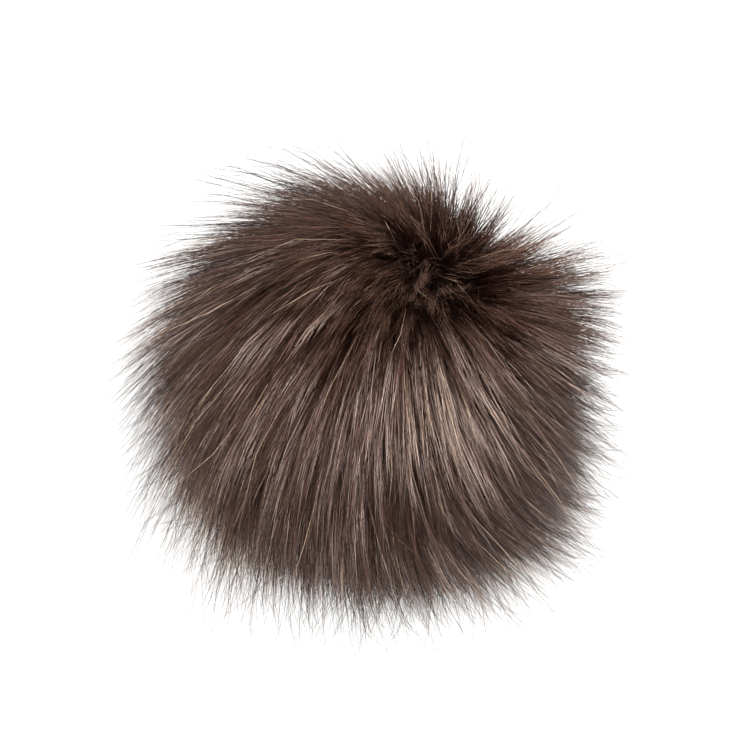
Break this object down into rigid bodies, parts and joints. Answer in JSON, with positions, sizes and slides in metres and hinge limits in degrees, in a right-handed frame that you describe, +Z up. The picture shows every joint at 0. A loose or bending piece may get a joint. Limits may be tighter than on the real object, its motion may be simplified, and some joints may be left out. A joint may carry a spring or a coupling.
{
  "type": "faux fur pom pom",
  "caption": "Round faux fur pom pom with long, tapering brown pile combed out from an off-centre crown and a small flat spot underneath.",
  "frame": {"origin": "middle of the flat spot that the pom pom rests on, at floor height", "axes": "+Z up out of the flat spot; -Y faces the viewer; +X is the viewer's right; the crown leans to the right and to the back"},
  "size_m": [0.1489, 0.1439, 0.1225],
  "materials": {
    "faux_fur": "long silky pile"
  },
  "bodies": {
    "root": {"pom_pom": "faux_fur"}
  },
  "joints": []
}
